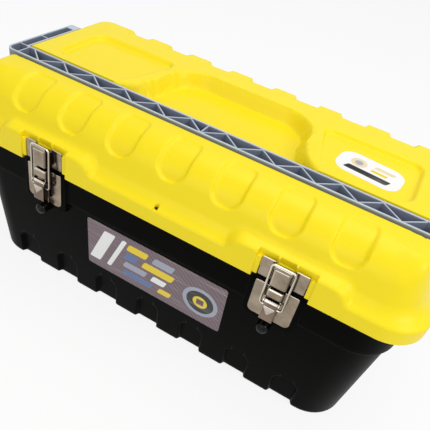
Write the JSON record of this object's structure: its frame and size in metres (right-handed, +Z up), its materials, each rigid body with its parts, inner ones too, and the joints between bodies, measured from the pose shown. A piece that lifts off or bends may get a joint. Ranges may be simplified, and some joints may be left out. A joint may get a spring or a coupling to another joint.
{
  "type": "toolbox with tray",
  "caption": "Moulded toolbox with a hinged lid, folding carry handle, draw latches with wire bails and a lift-out tray that hangs inside the tub.",
  "frame": {"origin": "centre of the bottom of the box that bounds the closed toolbox", "axes": "+X along the length to the viewer's right, -Y is the front with the latches, +Z up"},
  "size_m": [0.554, 0.297, 0.254],
  "materials": {
    "tub_black": "moulded black, satin",
    "lid_yellow": "moulded yellow, satin",
    "handle_grey": "moulded blue-grey, satin",
    "tray_grey": "moulded grey",
    "latch_nickel": "nickel plated sheet and wire",
    "pin_steel": "bright",
    "label_print": "printed, satin",
    "sticker_print": "printed, satin"
  },
  "bodies": {
    "base": {"base_tub": "tub_black", "front_label": "label_print", "hinge_pin_left": "pin_steel", "latch_plate_left": "latch_nickel", "plate_rivets_left": "latch_nickel", "lever_pin_left": "pin_steel", "hinge_pin_right": "pin_steel", "latch_plate_right": "latch_nickel", "plate_rivets_right": "latch_nickel", "lever_pin_right": "pin_steel"},
    "lid": {"lid_shell": "lid_yellow", "lid_label": "sticker_print", "latch_keeper_left": "latch_nickel", "keeper_rivets_left": "latch_nickel", "latch_keeper_right": "latch_nickel", "keeper_rivets_right": "latch_nickel"},
    "handle": {"carry_handle": "handle_grey"},
    "tray": {"lift_out_tray": "tray_grey"},
    "lever_left": {"latch_lever_left": "latch_nickel"},
    "bail_left": {"latch_bail_left": "latch_nickel"},
    "lever_right": {"latch_lever_right": "latch_nickel"},
    "bail_right": {"latch_bail_right": "latch_nickel"}
  },
  "joints": [
    {"name": "lid_hinge", "type": "hinge", "parent": "base", "child": "lid", "pos_m": [0, 0.14451, 0.17], "axis": [-1, 0, 0], "range_deg": [0, 105]},
    {"name": "handle_hinge", "type": "hinge", "parent": "lid", "child": "handle", "pos_m": [0, 0.048, 0.2448], "axis": [-1, 0, 0], "range_deg": [0, 90]},
    {"name": "tray_lift", "type": "slide", "parent": "base", "child": "tray", "axis": [0, 0, 1], "range_m": [0, 0.03]},
    {"name": "lever_left", "type": "hinge", "parent": "base", "child": "lever_left", "pos_m": [-0.1413, -0.14301, 0.162], "axis": [-1, 0, 0], "range_deg": [0, 120]},
    {"name": "bail_left", "type": "hinge", "parent": "lever_left", "child": "bail_left", "pos_m": [-0.1413, -0.14201, 0.1555], "axis": [-1, 0, 0], "range_deg": [-105, 0]},
    {"name": "lever_right", "type": "hinge", "parent": "base", "child": "lever_right", "pos_m": [0.1413, -0.14301, 0.162], "axis": [-1, 0, 0], "range_deg": [0, 120]},
    {"name": "bail_right", "type": "hinge", "parent": "lever_right", "child": "bail_right", "pos_m": [0.1413, -0.14201, 0.1555], "axis": [-1, 0, 0], "range_deg": [-105, 0]}
  ],
  "couplings": [
    {"joint": "bail_left", "follows": "lever_left", "ratio": -0.875},
    {"joint": "bail_right", "follows": "lever_right", "ratio": -0.875}
  ]
}
